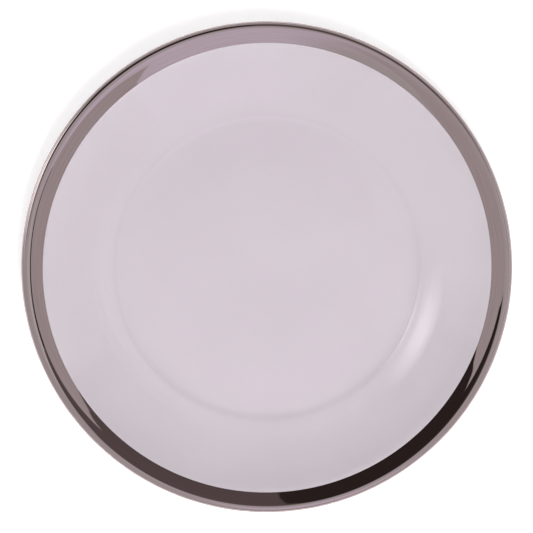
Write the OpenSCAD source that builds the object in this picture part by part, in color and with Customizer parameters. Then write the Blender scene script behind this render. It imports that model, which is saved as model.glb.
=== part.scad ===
// Glass side plate with a platinum band over its rolled edge.
// Both pieces are revolved about the Z axis, and the plate stands on z = 0.
// Sections are drawn with x as the radius and y as the height.

/* [Plate] */
// Diameter across the rolled edge
plate_d = 210; // [190:1:250]
// Height from the table to the crest of the edge
plate_h = 19.5; // [16:0.5:24]

/* [Well] */
// Diameter of the flat part of the well floor
well_d = 126; // [110:1:132]
// Glass thickness of the well floor
floor_t = 4.5; // [3:0.1:6]

/* [Rim] */
// Radius of the hollow curve that leaves the well floor
cavetto_r = 8; // [5:0.5:14]
// Radius of the swelling curve that eases the cavetto into the rim
shoulder_r = 57; // [30:1:80]
// How much steeper the cavetto becomes than the rim, in degrees
cavetto_kick = 13; // [4:0.5:16]
// Radius of the lip's gentle swell, where the band lies
lip_r = 45; // [25:1:80]
// Angle that the lip turns through before the crest, in degrees
lip_turn = 7; // [3:0.5:9]
// Radius of the curve from the lip to the crest
crest_r = 7; // [4:0.5:10]
// Thickness of the rolled edge
edge_t = 4.2; // [3:0.1:6]

/* [Base] */
// Diameter of the base
base_d = 128; // [120:1:138]
// Radius of the curve that leaves the base
base_round = 4; // [2:0.5:8]
// Width of the flat ring that the plate stands on
bearing_w = 4; // [2:0.5:8]
// Depth of the recess under the well
recess_h = 0.6; // [0.3:0.1:1]
// Radius of the soft curves that lead from the flat ring into the recess
recess_round = 150; // [60:5:250]

/* [Platinum band] */
// Width of the band on the face of the rim, seen from above
band_w = 9.1; // [6:0.1:16]
// Thickness of the metal film
band_t = 0.3; // [0.1:0.05:0.6]

/* [Hidden] */
$fn = 240;
// Largest angle between two points of an arc, in degrees
arc_step = 2.5;

// Radii, heights and points that the section starts from
edge_r = edge_t / 2;
floor_z = recess_h + floor_t;
well_edge = [well_d / 2, floor_z];
base_edge = [base_d / 2, 0];

// Centres of the arcs at the outer end of the section
crest_c = [plate_d / 2 - edge_r, plate_h - crest_r];
edge_c = [plate_d / 2 - edge_r, plate_h - edge_r];

// Unit vector at an angle, in degrees
function ray(angle) = [cos(angle), sin(angle)];

// Points of an arc after its first one, where the outline already is
function arc(centre, radius, from, to) =
    let (steps = ceil(abs(to - from) / arc_step))
    [for (i = [1 : 1 : steps]) centre + radius * ray(from + (to - from) * i / steps)];

// Slope of the straight stretch in a face that leaves level from start, climbs a hollow curve,
// eases through a swelling curve that is less steep by the kick, and passes end_c at a distance:
// each stretch is tangent to the next. The distance is negative where the line runs above end_c.
function face_slope(start, hollow_r, swell_r, end_c, distance) =
    let (
        run = end_c.x - start.x,
        climb = end_c.y - start.y - hollow_r,
        bulge = swell_r - (hollow_r + swell_r) * cos(cavetto_kick) + distance
    )
    acos(bulge / norm([run, climb])) - atan2(run, climb);

// Slopes of the upper face and of the underside
swell_under_r = shoulder_r - floor_z;
lip_reach = lip_r - (lip_r - crest_r) * cos(lip_turn);
rim_slope = face_slope(well_edge, cavetto_r, shoulder_r, crest_c, -lip_reach);
under_slope = face_slope(base_edge, base_round, swell_under_r, edge_c, edge_r);

// Steepest slopes, and the centres of the hollow and swelling curves that meet there
cavetto_slope = rim_slope + cavetto_kick;
under_kick_slope = under_slope + cavetto_kick;
hollow_c = well_edge + [0, cavetto_r];
hollow_under_c = base_edge + [0, base_round];
swell_c = hollow_c + (cavetto_r + shoulder_r) * ray(cavetto_slope - 90);
swell_under_c = hollow_under_c + (base_round + swell_under_r) * ray(under_kick_slope - 90);

// The lip is tangent to the straight rim at its start and to the crest's curve at its end
crest_slope = rim_slope - lip_turn;
lip_c = crest_c - (lip_r - crest_r) * ray(90 + crest_slope);
lip_start = lip_c + lip_r * ray(90 + rim_slope);

// Where the band starts: on the lip, or on the straight rim by the length of its lead
band_x = plate_d / 2 - band_w;
band_lead = max(0, lip_start.x - band_x);
band_slope = min(rim_slope, asin((lip_c.x - band_x) / lip_r));
band_up = ray(90 + band_slope);
band_start = lip_c + lip_r * band_up - band_lead * [1, tan(rim_slope)];

// The base climbs from the flat ring to the recess by two curves of equal radius
recess_angle = acos(1 - recess_h / (2 * recess_round));
bearing_x = base_edge.x - bearing_w;
recess_x = bearing_x - 2 * recess_round * sin(recess_angle);

// Upper face from the axis to the start of the band
function face_outline() = concat(
    [[0, floor_z], well_edge],
    arc(hollow_c, cavetto_r, -90, cavetto_slope - 90),
    arc(swell_c, shoulder_r, cavetto_slope + 90, rim_slope + 90),
    [band_lead > 0 ? band_start : lip_start],
    arc(lip_c, lip_r, 90 + rim_slope, 90 + band_slope)
);

// Lip, crest and rolled edge, from the start of the band round to the underside
function edge_outline(inset) = concat(
    [band_start - inset * band_up],
    band_lead > 0 ? [lip_start - inset * band_up] : [],
    arc(lip_c, lip_r - inset, 90 + band_slope, 90 + crest_slope),
    arc(crest_c, crest_r - inset, 90 + crest_slope, 90),
    arc(edge_c, edge_r - inset, 90, under_slope - 90)
);

// Underside from the rolled edge to the base
function under_outline() = concat(
    [edge_c + edge_r * ray(under_slope - 90)],
    [swell_under_c + swell_under_r * ray(under_slope + 90)],
    arc(swell_under_c, swell_under_r, under_slope + 90, under_kick_slope + 90),
    arc(hollow_under_c, base_round, under_kick_slope - 90, -90)
);

// Flat ring that the plate stands on, then the soft recess under the well
function base_outline() = concat(
    [[bearing_x, 0]],
    arc([bearing_x, recess_round], recess_round, -90, -90 - recess_angle),
    arc([recess_x, recess_h - recess_round], recess_round, 90 - recess_angle, 90),
    [[0, recess_h]]
);

function reversed(points) = [for (i = [len(points) - 1 : -1 : 0]) points[i]];

// Pressed glass body, let in by the film's thickness under the band
module glass_plate() {
    color("thistle", 0.5)
        rotate_extrude()
            polygon(concat(
                face_outline(),
                edge_outline(band_t),
                under_outline(),
                base_outline()
            ));
}

// Fired metal film over the rim's face, the crest and the rolled edge, flush with the glass
module platinum_band() {
    color("silver")
        rotate_extrude()
            polygon(concat(edge_outline(0), reversed(edge_outline(band_t))));
}

glass_plate();
platinum_band();
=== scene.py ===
import math

import bpy
import numpy as np
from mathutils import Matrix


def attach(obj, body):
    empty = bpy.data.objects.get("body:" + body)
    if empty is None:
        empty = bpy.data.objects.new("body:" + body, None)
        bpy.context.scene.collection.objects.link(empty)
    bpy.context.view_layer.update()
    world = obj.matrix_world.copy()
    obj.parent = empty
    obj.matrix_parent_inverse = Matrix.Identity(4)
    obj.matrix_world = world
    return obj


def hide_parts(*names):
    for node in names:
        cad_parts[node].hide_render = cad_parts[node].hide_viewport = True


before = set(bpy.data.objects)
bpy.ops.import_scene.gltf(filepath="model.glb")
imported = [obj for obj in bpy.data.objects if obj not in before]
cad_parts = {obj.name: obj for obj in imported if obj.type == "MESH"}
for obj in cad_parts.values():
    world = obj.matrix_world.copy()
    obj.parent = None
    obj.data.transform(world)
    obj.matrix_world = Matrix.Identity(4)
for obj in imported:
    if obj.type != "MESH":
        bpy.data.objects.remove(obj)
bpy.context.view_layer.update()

# Sizes of the section in millimetres, as the solids have them
PLATE_R = 105.0
PLATE_H = 19.5
WELL_R = 63.0
FLOOR_T = 4.5
CAVETTO_R = 8.0
SHOULDER_R = 57.0
CAVETTO_KICK = 13.0
LIP_R = 45.0
LIP_TURN = 7.0
CREST_R = 7.0
EDGE_R = 2.1
BASE_R = 64.0
BASE_ROUND = 4.0
BEARING_W = 4.0
RECESS_H = 0.6
RECESS_ROUND = 150.0
FILM_T = 0.3

# The film's inner edge as a banding brush leaves it: a little off centre and out of round
BAND_R = 95.9
BAND_OFFSET = 0.41
BAND_OFFSET_ANGLE = -68.0
BAND_OVAL = 0.25
BAND_OVAL_ANGLE = 55.0
# Inside this radius the film lies on the glass, and outside it the film is let in
LET_IN_R = 97.6
FILM_PROUD = 0.03
FILM_SUNK = 0.02

# Fineness of the meshes
SEGMENTS = 288
ARC_STEP = 1.5
LONGEST_STEP = 1.2
STRIP_STEPS = 8
SHARP_ANGLE = 35.0
MM = 0.001

# Camera over the plate's centre
CAMERA_H = 1.2
CAMERA_X = -0.0001
CAMERA_Y = 0.0001
FRAME_W = 0.2277
SENSOR_W = 36.0

# Colours of the pieces
GLASS_TINT = (0.721, 0.671, 0.716)
GLASS_TINT_DEEP = (0.711, 0.661, 0.706)
GLASS_DEPTH = (0.72, 0.6, 0.72)
PLATINUM = (0.486, 0.418, 0.421)
PLATINUM_STREAK = (0.45, 0.382, 0.386)

# Finish of the pieces: the scales and details of its noise, and the heights of its waves in metres
GLASS_IOR = 1.52
GLASS_DENSITY = 6.0
GLASS_ROUGHNESS = (0.0, 0.02)
GLASS_WAVES = {"Strength": 0.03, "Distance": 0.0004}
MELT_SCALE = 28.0
POLISH_SCALE = 160.0
FILM_ROUGHNESS = (0.015, 0.04)
FILM_WAVES = {"Strength": 0.015, "Distance": 0.0003}
FILM_WAVE_SCALE = 34.0
STREAKS_ALONG = 3.0
STREAKS_ACROSS = 2600.0
SMOOTH = 1.0
FINE = 3.0
# Range that noise seldom leaves, and the part of it over which two colours mix
NOISE_RANGE = (0.3, 0.7)
MIX_RANGE = (0.35, 0.65)

# Paper under the plate, with a hair of air between, so that it doesn't look wetted by the glass
FLOOR_HALF = 6.0
FLOOR_TOP = -0.0002
PAPER = (0.8, 0.8, 0.8)
PAPER_GLOW = 0.65

# Cards that the plate mirrors: they hang above every camera, and a lower one hides a higher one.
# In the main view x is right and y is up.
CARD_Z = 2.0
CARD_GAP = 0.01
GREY_NEAR_Z = CARD_Z + 2 * CARD_GAP
LILAC_Z = CARD_Z + CARD_GAP
PALE_Z = CARD_Z - CARD_GAP
GREY_Z = CARD_Z - 2 * CARD_GAP
BROWN = (0.161, 0.126, 0.126)
BLACK = (0.042, 0.031, 0.028)
GREY = (0.602, 0.546, 0.549)
DIM = (0.42, 0.38, 0.38)
PALE = (0.78, 0.75, 0.76)
LILAC = (0.87, 0.8, 0.92)
DARK_SPLIT_X = -0.05
DARK_X = 2.2
DARK_NEAR_Y = -0.1
DARK_FAR_Y = 1.42
DIM_X = 2.6
DIM_FAR_Y = 2.0
# Stretches over which a card comes in: of y for the dark cards, and of y and x for the lilac one.
# The last lies before every card, so that a card is even.
DARK_START = (0.03, 0.25)
LILAC_START = (-0.02, -0.45)
LILAC_SIDE = (-0.42, -0.02)
EVEN = (-9.0, -8.0)

# Surroundings, and the shares of their light that don't fall on the paper, below and above two heights
SURROUNDINGS = (0.64, 0.61, 0.61)
LOW_UP_TO = 0.55
LOW_LOSS = 0.8
HIGH_FROM = 0.8
HIGH_LOSS = 0.1


def ray(angle):
    turned = math.radians(angle)
    return np.array([math.cos(turned), math.sin(turned)])


def arc(centre, radius, start, end):
    """Points of an arc after its first one, where the outline already is."""
    sweep = abs(end - start)
    steps = math.ceil(max(sweep / ARC_STEP, math.radians(sweep) * radius / LONGEST_STEP))
    return [centre + radius * ray(start + (end - start) * i / steps) for i in range(1, steps + 1)]


def face_slope(start, hollow_r, swell_r, end_c, distance):
    """Slope of the straight stretch between a hollow curve, a swelling curve and the edge."""
    run, climb = end_c - start - np.array([0, hollow_r])
    bulge = swell_r - (hollow_r + swell_r) * math.cos(math.radians(CAVETTO_KICK)) + distance
    reach = math.acos(bulge / math.hypot(run, climb))
    return math.degrees(reach - math.atan2(run, climb))


# Centres and slopes of the section, by the same tangencies as the solids
FLOOR_Z = RECESS_H + FLOOR_T
WELL_EDGE = np.array([WELL_R, FLOOR_Z])
BASE_EDGE = np.array([BASE_R, 0.0])
CREST_C = np.array([PLATE_R - EDGE_R, PLATE_H - CREST_R])
EDGE_C = np.array([PLATE_R - EDGE_R, PLATE_H - EDGE_R])
LIP_REACH = LIP_R - (LIP_R - CREST_R) * math.cos(math.radians(LIP_TURN))
SWELL_UNDER_R = SHOULDER_R - FLOOR_Z
RIM_SLOPE = face_slope(WELL_EDGE, CAVETTO_R, SHOULDER_R, CREST_C, -LIP_REACH)
UNDER_SLOPE = face_slope(BASE_EDGE, BASE_ROUND, SWELL_UNDER_R, EDGE_C, EDGE_R)
CAVETTO_SLOPE = RIM_SLOPE + CAVETTO_KICK
UNDER_KICK_SLOPE = UNDER_SLOPE + CAVETTO_KICK
HOLLOW_C = WELL_EDGE + np.array([0, CAVETTO_R])
HOLLOW_UNDER_C = BASE_EDGE + np.array([0, BASE_ROUND])
SWELL_C = HOLLOW_C + (CAVETTO_R + SHOULDER_R) * ray(CAVETTO_SLOPE - 90)
SWELL_UNDER_C = HOLLOW_UNDER_C + (BASE_ROUND + SWELL_UNDER_R) * ray(UNDER_KICK_SLOPE - 90)
CREST_SLOPE = RIM_SLOPE - LIP_TURN
LIP_C = CREST_C - (LIP_R - CREST_R) * ray(90 + CREST_SLOPE)
LIP_START = LIP_C + LIP_R * ray(90 + RIM_SLOPE)
LET_IN_SLOPE = math.degrees(math.asin((LIP_C[0] - LET_IN_R) / LIP_R))


def face_z(radius):
    """Height of the rim's upper face near the band, on the straight rim or on the lip."""
    straight = LIP_START[1] + (radius - LIP_START[0]) * math.tan(math.radians(RIM_SLOPE))
    curved = LIP_C[1] + np.sqrt(LIP_R**2 - (radius - LIP_C[0]) ** 2)
    return np.where(radius < LIP_START[0], straight, curved)


def densified(points):
    """The same outline with its long stretches divided."""
    dense = [points[0]]
    for point in points[1:]:
        steps = math.ceil(np.linalg.norm(point - dense[-1]) / LONGEST_STEP)
        first = dense[-1]
        dense += [first + (point - first) * i / steps for i in range(1, steps + 1)]
    return dense


def edge_outline(inset):
    """Lip from the let-in edge outwards, crest and rolled edge, as far as the underside."""
    start = LIP_C + (LIP_R - inset) * ray(90 + LET_IN_SLOPE)
    return (
        [start]
        + arc(LIP_C, LIP_R - inset, 90 + LET_IN_SLOPE, 90 + CREST_SLOPE)
        + arc(CREST_C, CREST_R - inset, 90 + CREST_SLOPE, 90)
        + arc(EDGE_C, EDGE_R - inset, 90, UNDER_SLOPE - 90)
    )


def base_outline():
    """Flat ring that the plate stands on, then the soft recess under the well."""
    turn = math.degrees(math.acos(1 - RECESS_H / (2 * RECESS_ROUND)))
    bearing_x = BASE_R - BEARING_W
    recess_x = bearing_x - 2 * RECESS_ROUND * math.sin(math.radians(turn))
    return (
        [np.array([bearing_x, 0.0])]
        + arc(np.array([bearing_x, RECESS_ROUND]), RECESS_ROUND, -90, -90 - turn)
        + arc(np.array([recess_x, RECESS_H - RECESS_ROUND]), RECESS_ROUND, 90 - turn, 90)
        + [np.array([0.0, RECESS_H])]
    )


def glass_outline():
    """Whole section of the glass, from the axis over the top and back under the plate."""
    top = [np.array([0.0, FLOOR_Z]), WELL_EDGE]
    top += arc(HOLLOW_C, CAVETTO_R, -90, CAVETTO_SLOPE - 90)
    top += arc(SWELL_C, SHOULDER_R, CAVETTO_SLOPE + 90, RIM_SLOPE + 90)
    top += [LIP_START]
    top += arc(LIP_C, LIP_R, 90 + RIM_SLOPE, 90 + LET_IN_SLOPE)
    under = [EDGE_C + EDGE_R * ray(UNDER_SLOPE - 90)]
    under += [SWELL_UNDER_C + SWELL_UNDER_R * ray(UNDER_SLOPE + 90)]
    under += arc(SWELL_UNDER_C, SWELL_UNDER_R, UNDER_SLOPE + 90, UNDER_KICK_SLOPE + 90)
    under += arc(HOLLOW_UNDER_C, BASE_ROUND, UNDER_KICK_SLOPE - 90, -90)
    return np.array(densified(top + edge_outline(FILM_T) + under + base_outline()))


def film_outline(angles):
    """Section of the film at each angle, as points by angles by radius and height."""
    offset = BAND_OFFSET * np.cos(angles - math.radians(BAND_OFFSET_ANGLE))
    oval = BAND_OVAL * np.cos(2 * (angles - math.radians(BAND_OVAL_ANGLE)))
    inner_r = BAND_R + offset + oval
    share = np.linspace(0, 1, STRIP_STEPS, endpoint=False)[:, None]
    strip_r = inner_r + (LET_IN_R - inner_r) * share
    strip_top = np.stack([strip_r, face_z(strip_r) + FILM_PROUD * (1 - share)], axis=2)
    strip_under = np.stack([strip_r, face_z(strip_r) - FILM_SUNK], axis=2)
    every = np.ones((len(angles), 1))
    outer = np.array(edge_outline(0))[:, None] * every
    inner = np.array(edge_outline(FILM_T + FILM_SUNK))[::-1, None] * every
    return np.concatenate([strip_top, outer, inner, strip_under[::-1]])


def ring_faces(first, second):
    """Quads between two rings of vertex numbers."""
    return np.stack([first, second, np.roll(second, -1), np.roll(first, -1)], axis=1)


def lathe_mesh(name, rings, angles, closed, poles=()):
    """Mesh of an outline turned about Z: rings holds points by angles by radius and height."""
    radius, height = rings[..., 0] * MM, rings[..., 1] * MM
    vertices = np.stack([radius * np.cos(angles), radius * np.sin(angles), height], axis=2)
    numbers = np.arange(rings.shape[0] * len(angles)).reshape(rings.shape[:2])
    pairs = list(zip(numbers[:-1], numbers[1:]))
    if closed:
        pairs.append((numbers[-1], numbers[0]))
    faces = [quad for first, second in pairs for quad in ring_faces(first, second).tolist()]
    points = vertices.reshape(-1, 3).tolist()
    for height_mm, ring, faces_up in poles:
        pole = len(points)
        points.append([0.0, 0.0, height_mm * MM])
        around = numbers[ring].tolist()
        for here, there in zip(around, around[1:] + around[:1]):
            faces.append([pole, here, there] if faces_up else [here, pole, there])
    mesh = bpy.data.meshes.new(name)
    mesh.from_pydata(points, [], faces)
    mesh.shade_smooth()
    mesh.set_sharp_from_angle(angle=math.radians(SHARP_ANGLE))
    return mesh


def placed(name, data):
    made = bpy.data.objects.new(name, data)
    bpy.context.scene.collection.objects.link(made)
    return made


def add_node(tree, kind, settings=None, **inputs):
    """A node with its settings, and its inputs as values or as sockets to link from."""
    made = tree.nodes.new(kind)
    for key, value in (settings or {}).items():
        setattr(made, key, value)
    for key, value in inputs.items():
        socket = made.inputs[int(key[1:])] if key[1:].isdigit() else made.inputs[key.replace("_", " ")]
        if isinstance(value, bpy.types.NodeSocket):
            tree.links.new(value, socket)
        else:
            socket.default_value = value
    return made


def math_value(tree, operation, *values):
    numbered = {f"_{number}": value for number, value in enumerate(values)}
    return add_node(tree, "ShaderNodeMath", {"operation": operation}, **numbered).outputs["Value"]


def new_material(name):
    made = bpy.data.materials.new(name)
    made.use_nodes = True
    made.node_tree.nodes.clear()
    return made, made.node_tree


def solid_colour(colour):
    return (*colour, 1.0)


def noise(tree, vector, scale, detail):
    made = add_node(tree, "ShaderNodeTexNoise", Vector=vector, Scale=scale, Detail=detail)
    return made.outputs["Fac"]


def ranged(tree, noisy, limits):
    """Noise spread over the range between two limits."""
    spread = dict(zip(("From_Min", "From_Max", "To_Min", "To_Max"), NOISE_RANGE + limits))
    return add_node(tree, "ShaderNodeMapRange", Value=noisy, **spread).outputs["Result"]


def mixed_colour(tree, share, first, second):
    ramp = add_node(tree, "ShaderNodeValToRGB", Fac=share)
    for stop, position, colour in zip(ramp.color_ramp.elements, MIX_RANGE, (first, second)):
        stop.position = position
        stop.color = solid_colour(colour)
    return ramp.outputs["Color"]


def object_place(tree):
    return add_node(tree, "ShaderNodeTexCoord").outputs["Object"]


def around_place(tree, along, across):
    """Place by direction round the axis and by distance from it, so that noise runs round the plate."""
    parts = add_node(tree, "ShaderNodeSeparateXYZ", Vector=object_place(tree))
    flat = add_node(tree, "ShaderNodeCombineXYZ", X=parts.outputs["X"], Y=parts.outputs["Y"]).outputs[0]
    unit = add_node(tree, "ShaderNodeVectorMath", {"operation": "NORMALIZE"}, _0=flat).outputs["Vector"]
    wide = add_node(tree, "ShaderNodeVectorMath", {"operation": "SCALE"}, _0=unit, Scale=along).outputs[0]
    length = add_node(tree, "ShaderNodeVectorMath", {"operation": "LENGTH"}, _0=flat).outputs["Value"]
    fine = math_value(tree, "MULTIPLY", length, across)
    lift = add_node(tree, "ShaderNodeCombineXYZ", Z=fine).outputs[0]
    return add_node(tree, "ShaderNodeVectorMath", {"operation": "ADD"}, _0=wide, _1=lift).outputs["Vector"]


def glass_material():
    made, tree = new_material("lilac_glass")
    place = object_place(tree)
    melt = noise(tree, place, MELT_SCALE, SMOOTH)
    polish = noise(tree, place, POLISH_SCALE, FINE)
    bump = add_node(tree, "ShaderNodeBump", Height=melt, **GLASS_WAVES)
    shader = add_node(
        tree,
        "ShaderNodeBsdfPrincipled",
        Base_Color=mixed_colour(tree, melt, GLASS_TINT, GLASS_TINT_DEEP),
        Roughness=ranged(tree, polish, GLASS_ROUGHNESS),
        IOR=GLASS_IOR,
        Transmission_Weight=1.0,
        Normal=bump.outputs["Normal"],
    )
    depth = {"Color": solid_colour(GLASS_DEPTH), "Density": GLASS_DENSITY}
    absorb = add_node(tree, "ShaderNodeVolumeAbsorption", **depth)
    add_node(
        tree,
        "ShaderNodeOutputMaterial",
        Surface=shader.outputs["BSDF"],
        Volume=absorb.outputs["Volume"],
    )
    return made


def platinum_material():
    made, tree = new_material("platinum_film")
    streak = noise(tree, around_place(tree, STREAKS_ALONG, STREAKS_ACROSS), 1.0, FINE)
    wave = noise(tree, object_place(tree), FILM_WAVE_SCALE, SMOOTH)
    bump = add_node(tree, "ShaderNodeBump", Height=wave, **FILM_WAVES)
    shader = add_node(
        tree,
        "ShaderNodeBsdfPrincipled",
        Base_Color=mixed_colour(tree, streak, PLATINUM, PLATINUM_STREAK),
        Metallic=1.0,
        Roughness=ranged(tree, streak, FILM_ROUGHNESS),
        Normal=bump.outputs["Normal"],
    )
    add_node(tree, "ShaderNodeOutputMaterial", Surface=shader.outputs["BSDF"])
    return made


def make_pieces():
    angles = np.linspace(0, 2 * math.pi, SEGMENTS, endpoint=False)
    section = glass_outline()
    body_rings = section[1:-1, None] * np.ones((SEGMENTS, 1))
    poles = [(section[0][1], 0, True), (section[-1][1], -1, False)]
    body = placed("glass_body", lathe_mesh("glass_body", body_rings, angles, False, poles))
    film = placed("platinum_film", lathe_mesh("platinum_film", film_outline(angles), angles, True))
    body.data.materials.append(glass_material())
    film.data.materials.append(platinum_material())
    for piece, node, slot in [(body, "glass_plate", "glass"), (film, "platinum_band", "platinum")]:
        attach(piece, "root")
        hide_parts(node)


def oblong(left, right, near, far):
    return [(left, near), (right, near), (right, far), (left, far)]


def stage_sheet(name, corners, height, material):
    """A flat sheet of the stage, which isn't part of the plate."""
    mesh = bpy.data.meshes.new(name)
    mesh.from_pydata([(x, y, height) for x, y in corners], [], [list(range(len(corners)))])
    mesh.materials.append(material)
    sheet = placed(name, mesh)
    return sheet


def paper_material():
    """White paper: it takes the light and the shadow, and glows a little where it is seen."""
    made, tree = new_material("white_paper")
    path = add_node(tree, "ShaderNodeLightPath").outputs
    through_plate = math_value(tree, "MAXIMUM", path["Is Glossy Ray"], path["Is Transmission Ray"])
    seen = math_value(tree, "MAXIMUM", path["Is Camera Ray"], through_plate)
    paper = add_node(tree, "ShaderNodeBsdfDiffuse", Color=solid_colour(PAPER))
    glow = add_node(tree, "ShaderNodeEmission", Strength=math_value(tree, "MULTIPLY", seen, PAPER_GLOW))
    both = add_node(tree, "ShaderNodeAddShader", _0=paper.outputs["BSDF"], _1=glow.outputs["Emission"])
    add_node(tree, "ShaderNodeOutputMaterial", Surface=both.outputs["Shader"])
    return made


def eased(tree, along, stretch):
    """0 before a stretch, 1 after it, and a soft rise between."""
    span = {"Value": along, "From_Min": stretch[0], "From_Max": stretch[1]}
    made = add_node(tree, "ShaderNodeMapRange", {"interpolation_type": "SMOOTHSTEP"}, **span)
    return made.outputs["Result"]


def card_material(name, colour, fade_x, fade_y):
    """Even light, which comes in softly over a stretch of x and one of y."""
    made, tree = new_material(name)
    glow = add_node(tree, "ShaderNodeEmission", Color=solid_colour(colour)).outputs["Emission"]
    clear = add_node(tree, "ShaderNodeBsdfTransparent").outputs["BSDF"]
    place = add_node(tree, "ShaderNodeSeparateXYZ", Vector=object_place(tree)).outputs
    across, along = eased(tree, place["X"], fade_x), eased(tree, place["Y"], fade_y)
    share = math_value(tree, "MULTIPLY", across, along)
    both = add_node(tree, "ShaderNodeMixShader", _0=share, _1=clear, _2=glow)
    add_node(tree, "ShaderNodeOutputMaterial", Surface=both.outputs["Shader"])
    return made


def add_card(name, corners, height, colour, fade_x=EVEN, fade_y=EVEN):
    stage_sheet(name, corners, height, card_material(name, colour, fade_x, fade_y))


def make_dark_cards():
    """Cards over the far half, which the near half of the band mirrors."""
    right = oblong(DARK_SPLIT_X, DARK_X, DARK_NEAR_Y, DARK_FAR_Y)
    left = oblong(-DARK_X, DARK_SPLIT_X, DARK_NEAR_Y, DARK_FAR_Y)
    near = oblong(-1.2, -0.45, 0.06, 0.4)
    dim = oblong(-DIM_X, DIM_X, DARK_FAR_Y, DIM_FAR_Y)
    add_card("dark_card_right", right, CARD_Z, BROWN, fade_y=DARK_START)
    add_card("dark_card_left", left, CARD_Z, BLACK, fade_y=DARK_START)
    add_card("dark_card_near", near, PALE_Z, BLACK)
    add_card("dim_card", dim, CARD_Z, DIM)


def make_bright_cards():
    """Lilac, grey and pale cards, and a dark sliver along the pale one."""
    lilac = oblong(LILAC_SIDE[0], 0.9, -2.4, 0.0)
    grey_near = [(LILAC_SIDE[0], 0.0), (LILAC_SIDE[0], -0.7), (0.0, -0.7)]
    pale = [(0.17, -0.1), (0.6, -0.1), (0.63, 0.0), (0.57, 0.21), (0.2, 0.2), (0.17, 0.15)]
    sliver = [(0.64, 0.23), (0.68, 0.0), (0.62, -0.28), (0.6, -0.28), (0.635, 0.0), (0.58, 0.21)]
    grey_right = [(0.395, -0.685), (0.68, -0.95), (1.8, -1.7), (1.8, 0.6)]
    grey_right += [(0.59, 0.59), (0.64, 0.23), (0.68, 0.0), (0.6, -0.345)]
    grey_left = [(-0.655, 0.41), (-1.2, 0.4), (-1.3, 0.2), (-1.2, -0.6), (-0.95, -0.72), (-0.42, -0.7)]
    grey_left += [(-0.42, 0.0), (-0.66, 0.12), (-0.68, 0.26)]
    add_card("lilac_card", lilac, LILAC_Z, LILAC, LILAC_SIDE, LILAC_START)
    add_card("grey_card_near", grey_near, GREY_NEAR_Z, GREY)
    add_card("pale_card", pale, PALE_Z, PALE)
    add_card("dark_sliver", sliver, PALE_Z, BLACK)
    add_card("grey_card_right", grey_right, GREY_Z, GREY)
    add_card("grey_card_left", grey_left, GREY_Z, GREY)


def paper_bound(tree):
    """1 where a ray has left the paper, so that a light reaches the paper and no mirror; otherwise 0."""
    return math_value(tree, "MINIMUM", add_node(tree, "ShaderNodeLightPath").outputs["Diffuse Depth"], 1.0)


def light_material(name, half_w, half_h, peak, mirrored):
    """Light that fades from its middle to nothing at its edge, and may stay out of mirrors."""
    made, tree = new_material(name)
    shrink = (1 / half_w, 1 / half_h, 1.0)
    place = add_node(tree, "ShaderNodeMapping", Vector=object_place(tree), Scale=shrink).outputs["Vector"]
    fade = add_node(tree, "ShaderNodeTexGradient", {"gradient_type": "SPHERICAL"}, Vector=place)
    strength = math_value(tree, "MULTIPLY", fade.outputs["Fac"], peak)
    if not mirrored:
        strength = math_value(tree, "MULTIPLY", strength, paper_bound(tree))
        made.cycles.emission_sampling = "NONE"
    glow = add_node(tree, "ShaderNodeEmission", Strength=strength).outputs["Emission"]
    clear = add_node(tree, "ShaderNodeBsdfTransparent").outputs["BSDF"]
    both = add_node(tree, "ShaderNodeAddShader", _0=glow, _1=clear)
    add_node(tree, "ShaderNodeOutputMaterial", Surface=both.outputs["Shader"])
    return made


def add_light(name, place, half_w, half_h, peak, mirrored=True):
    """A soft light that faces the plate."""
    corners = oblong(-half_w, half_w, -half_h, half_h)
    light = stage_sheet(name, corners, 0.0, light_material(name, half_w, half_h, peak, mirrored))
    light.location = place
    light.rotation_euler = light.location.to_track_quat("Z", "Y").to_euler()


def make_lights():
    add_light("key_light", (0.26, -0.66, 1.62), half_w=0.345, half_h=0.345, peak=34.0, mirrored=False)
    add_light("strip_light", (-1.633, 0.693, 1.762), half_w=0.75, half_h=0.41, peak=4.6)
    add_light("window_light", (-2.72, 1.1, 0.72), half_w=0.95, half_h=0.9, peak=1.9)
    add_light("pale_light", (1.79, 0.65, 1.77), half_w=2.6, half_h=0.95, peak=0.55)


def make_world():
    """Grey surroundings, which light the paper less than the plate, above all from low down."""
    world = bpy.data.worlds.new("studio")
    world.use_nodes = True
    world.cycles.sampling_method = "NONE"
    bpy.context.scene.world = world
    tree = world.node_tree
    direction = add_node(tree, "ShaderNodeTexCoord").outputs["Generated"]
    up = add_node(tree, "ShaderNodeSeparateXYZ", Vector=direction).outputs["Z"]
    span = {"From_Min": HIGH_FROM, "From_Max": LOW_UP_TO}
    low = add_node(tree, "ShaderNodeMapRange", Value=up, **span).outputs["Result"]
    loss = math_value(tree, "MULTIPLY_ADD", low, LOW_LOSS - HIGH_LOSS, HIGH_LOSS)
    strength = math_value(tree, "SUBTRACT", 1.0, math_value(tree, "MULTIPLY", loss, paper_bound(tree)))
    background = tree.nodes["Background"]
    background.inputs["Color"].default_value = solid_colour(SURROUNDINGS)
    tree.links.new(strength, background.inputs["Strength"])


def make_floor():
    corners = oblong(-FLOOR_HALF, FLOOR_HALF, -FLOOR_HALF, FLOOR_HALF)
    stage_sheet("floor", corners, FLOOR_TOP, paper_material())


def make_camera():
    data = bpy.data.cameras.new("camera")
    data.sensor_width = SENSOR_W
    data.lens = SENSOR_W * CAMERA_H / FRAME_W
    camera = placed("camera", data)
    camera.location = (CAMERA_X, CAMERA_Y, CAMERA_H + EDGE_C[1] * MM)
    bpy.context.scene.camera = camera


def main():
    make_pieces()
    make_floor()
    make_dark_cards()
    make_bright_cards()
    make_world()
    make_lights()
    make_camera()
    bpy.context.scene.view_settings.view_transform = "Standard"


main()
